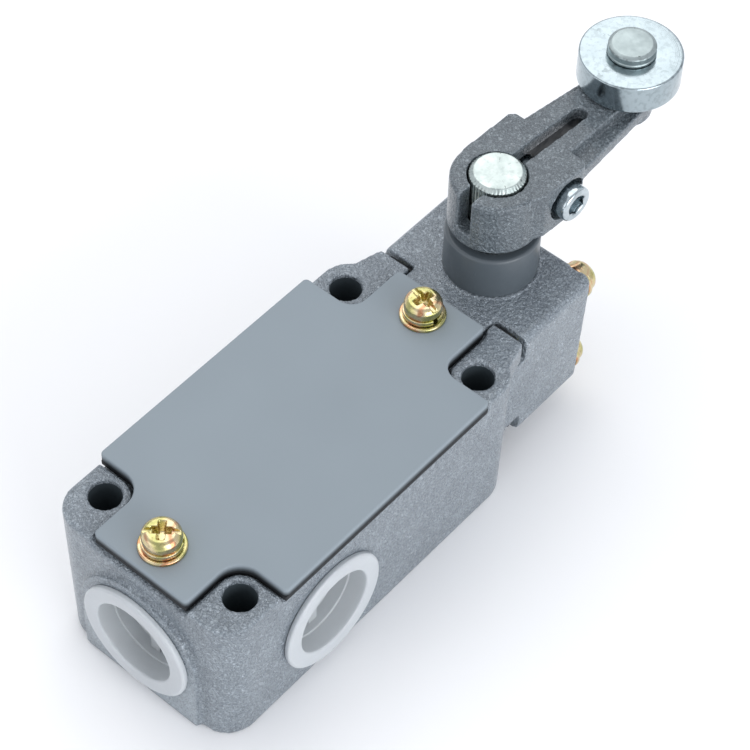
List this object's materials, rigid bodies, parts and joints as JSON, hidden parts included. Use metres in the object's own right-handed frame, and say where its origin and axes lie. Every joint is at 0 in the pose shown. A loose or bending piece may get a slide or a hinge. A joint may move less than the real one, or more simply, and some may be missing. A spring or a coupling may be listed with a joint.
{
  "type": "limit switch",
  "caption": "Die-cast box limit switch with a screwed front cover, two plugged conduit entries, four fixing bores and a side-rotary roller lever on a bolted head.",
  "frame": {"origin": "centre of the 30 by 60 mm pattern of four fixing bores, on the mounting face", "axes": "+Z out of the front cover, away from the mounting face; +Y along the body towards the lever head; +X towards the side conduit entry"},
  "size_m": [0.0419, 0.1347, 0.0627],
  "materials": {
    "hammer_paint": "blue-grey hammer-finish paint on a die casting, fine bumpy grain, semi-gloss",
    "cover_paint": "smooth satin light grey paint",
    "black_rubber": "matt black rubber",
    "yellow_zinc": "yellow-passivated zinc plate, faint green and pink sheen",
    "bright_zinc": "bright zinc plate with fine turning marks",
    "polyethylene": "translucent natural polyethylene",
    "bronze": "oiled sintered bronze",
    "hardened_steel": "ground steel",
    "spring_steel": "oiled spring steel",
    "phenolic": "moulded black phenolic",
    "polyamide": "moulded white polyamide",
    "contact_brass": "stamped brass"
  },
  "bodies": {
    "body": {"housing": "hammer_paint", "cover_gasket": "black_rubber", "cover": "cover_paint", "cover_flat_washer_1": "yellow_zinc", "cover_flat_washer_2": "yellow_zinc", "cover_spring_washer_1": "yellow_zinc", "cover_spring_washer_2": "yellow_zinc", "cover_screw_1": "yellow_zinc", "cover_screw_2": "yellow_zinc", "end_plug": "polyethylene", "side_plug": "polyethylene", "head": "hammer_paint", "head_gasket": "black_rubber", "head_washer_1": "yellow_zinc", "head_washer_2": "yellow_zinc", "head_washer_3": "yellow_zinc", "head_washer_4": "yellow_zinc", "head_screw_1": "yellow_zinc", "head_screw_2": "yellow_zinc", "head_screw_3": "yellow_zinc", "head_screw_4": "yellow_zinc", "shaft_bushing": "bronze", "shaft_seal": "black_rubber", "lever_spring": "spring_steel", "plunger_guide": "bronze", "return_spring": "spring_steel", "contact_block_base": "phenolic", "contact_block_lid": "phenolic", "fixed_contact_1": "contact_brass", "fixed_contact_2": "contact_brass", "fixed_contact_3": "contact_brass", "fixed_contact_4": "contact_brass", "terminal_screw_1": "yellow_zinc", "terminal_screw_2": "yellow_zinc", "terminal_screw_3": "yellow_zinc", "terminal_screw_4": "yellow_zinc", "block_screw_1": "yellow_zinc", "block_screw_2": "yellow_zinc", "earth_washer": "yellow_zinc", "earth_screw": "yellow_zinc"},
    "lever": {"shaft": "bright_zinc", "lever_arm": "hammer_paint", "clamp_screw": "bright_zinc", "roller_pin": "bright_zinc", "retaining_ring": "spring_steel", "cam": "hardened_steel"},
    "roller": {"roller": "bright_zinc"},
    "plunger": {"plunger": "hardened_steel", "contact_carrier": "polyamide", "contact_bridge_1": "contact_brass", "contact_bridge_2": "contact_brass"}
  },
  "joints": [
    {"name": "lever_swing", "type": "hinge", "parent": "body", "child": "lever", "pos_m": [0, 0.0517, 0.031], "axis": [0, 0, 1], "range_deg": [-45, 45], "stiffness_Nm_per_rad": 0.25},
    {"name": "roller_spin", "type": "hinge", "parent": "lever", "child": "roller", "pos_m": [0.00246, 0.08516, 0.05735], "axis": [0, 0, 1], "continuous": true},
    {"name": "plunger_travel", "type": "slide", "parent": "body", "child": "plunger", "axis": [0, -1, 0], "range_m": [0, 0.003], "stiffness_N_per_m": 800}
  ]
}
